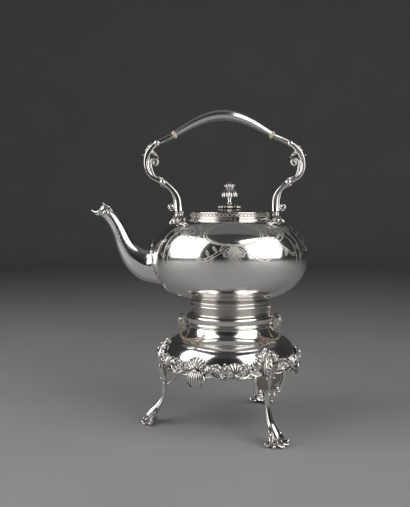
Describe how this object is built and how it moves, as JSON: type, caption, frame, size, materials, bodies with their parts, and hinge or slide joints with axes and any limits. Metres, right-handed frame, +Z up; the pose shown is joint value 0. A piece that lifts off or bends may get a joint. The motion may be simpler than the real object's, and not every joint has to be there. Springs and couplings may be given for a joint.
{
  "type": "spirit kettle on stand",
  "caption": "Silver spirit kettle with hinged lid and arched handle, pinned to a legged lamp stand so that it tips to pour.",
  "frame": {"origin": "on the table, at the middle of the object's outline seen from above", "axes": "+Z up, +X away from the spout towards the rear of the kettle, +Y to the far side of the picture"},
  "size_m": [0.2686, 0.2062, 0.3926],
  "materials": {
    "silver": "polished silver",
    "ivory": "polished ivory-coloured insulator",
    "cotton": "plain woven wick"
  },
  "bodies": {
    "stand": {"stand_shell": "silver", "stand_rim": "silver", "apron_edge": "silver", "apron_border": "silver", "pendant_near": "silver", "pendant_far": "silver", "pendant_rear": "silver", "knee_front": "silver", "knee_near": "silver", "knee_far": "silver", "leg_front": "silver", "leg_near": "silver", "leg_far": "silver", "burner_ring": "silver", "burner_struts": "silver", "front_ears": "silver", "rear_ears": "silver", "front_staple": "silver", "rear_staple": "silver", "front_chain": "silver", "rear_chain": "silver"},
    "kettle": {"kettle_body": "silver", "kettle_foot": "silver", "mouth_ring": "silver", "spout": "silver", "spout_lip": "silver", "spout_leaves": "silver", "spout_drop": "silver", "front_lug": "silver", "rear_lug": "silver", "front_socket": "silver", "rear_socket": "silver", "front_arm": "silver", "rear_arm": "silver", "front_insulator": "ivory", "rear_insulator": "ivory", "insulator_tenons": "silver", "handle_grip": "silver", "lid_hinge_leaf": "silver", "lid_hinge_pin": "silver"},
    "lid": {"lid": "silver", "lid_bezel": "silver", "lid_knuckle": "silver", "finial_rosette": "silver", "finial_stem": "silver", "finial_bud": "silver", "finial_nut": "silver"},
    "front_pin": {"front_pin": "silver", "front_pin_ring": "silver"},
    "rear_pin": {"rear_pin": "silver", "rear_pin_ring": "silver"},
    "lamp": {"lamp_reservoir": "silver", "lamp_collar": "silver", "burner_tube": "silver", "wick": "cotton", "snuffer_pin": "silver"},
    "snuffer": {"snuffer": "silver"}
  },
  "joints": [
    {"name": "kettle_tilt", "type": "hinge", "parent": "stand", "child": "kettle", "pos_m": [-0.02275, 0, 0.1345], "axis": [0, -1, 0], "range_deg": [0, 40]},
    {"name": "lid_hinge", "type": "hinge", "parent": "kettle", "child": "lid", "pos_m": [0.04175, -0.0519, 0.2597], "axis": [1, 0, 0], "range_deg": [0, 95]},
    {"name": "front_pin_slide", "type": "slide", "parent": "stand", "child": "front_pin", "axis": [0, -1, 0], "range_m": [0, 0.012], "deforming": ["front_chain"]},
    {"name": "rear_pin_slide", "type": "slide", "parent": "stand", "child": "rear_pin", "axis": [0, 1, 0], "range_m": [0, 0.00785], "deforming": ["rear_chain"]},
    {"name": "lamp_lift", "type": "slide", "parent": "stand", "child": "lamp", "axis": [0, 0, 1], "range_m": [0, 0.02]},
    {"name": "snuffer_hinge", "type": "hinge", "parent": "lamp", "child": "snuffer", "pos_m": [0.05115, 0, 0.0956], "axis": [0, -1, 0], "range_deg": [0, 178]}
  ]
}
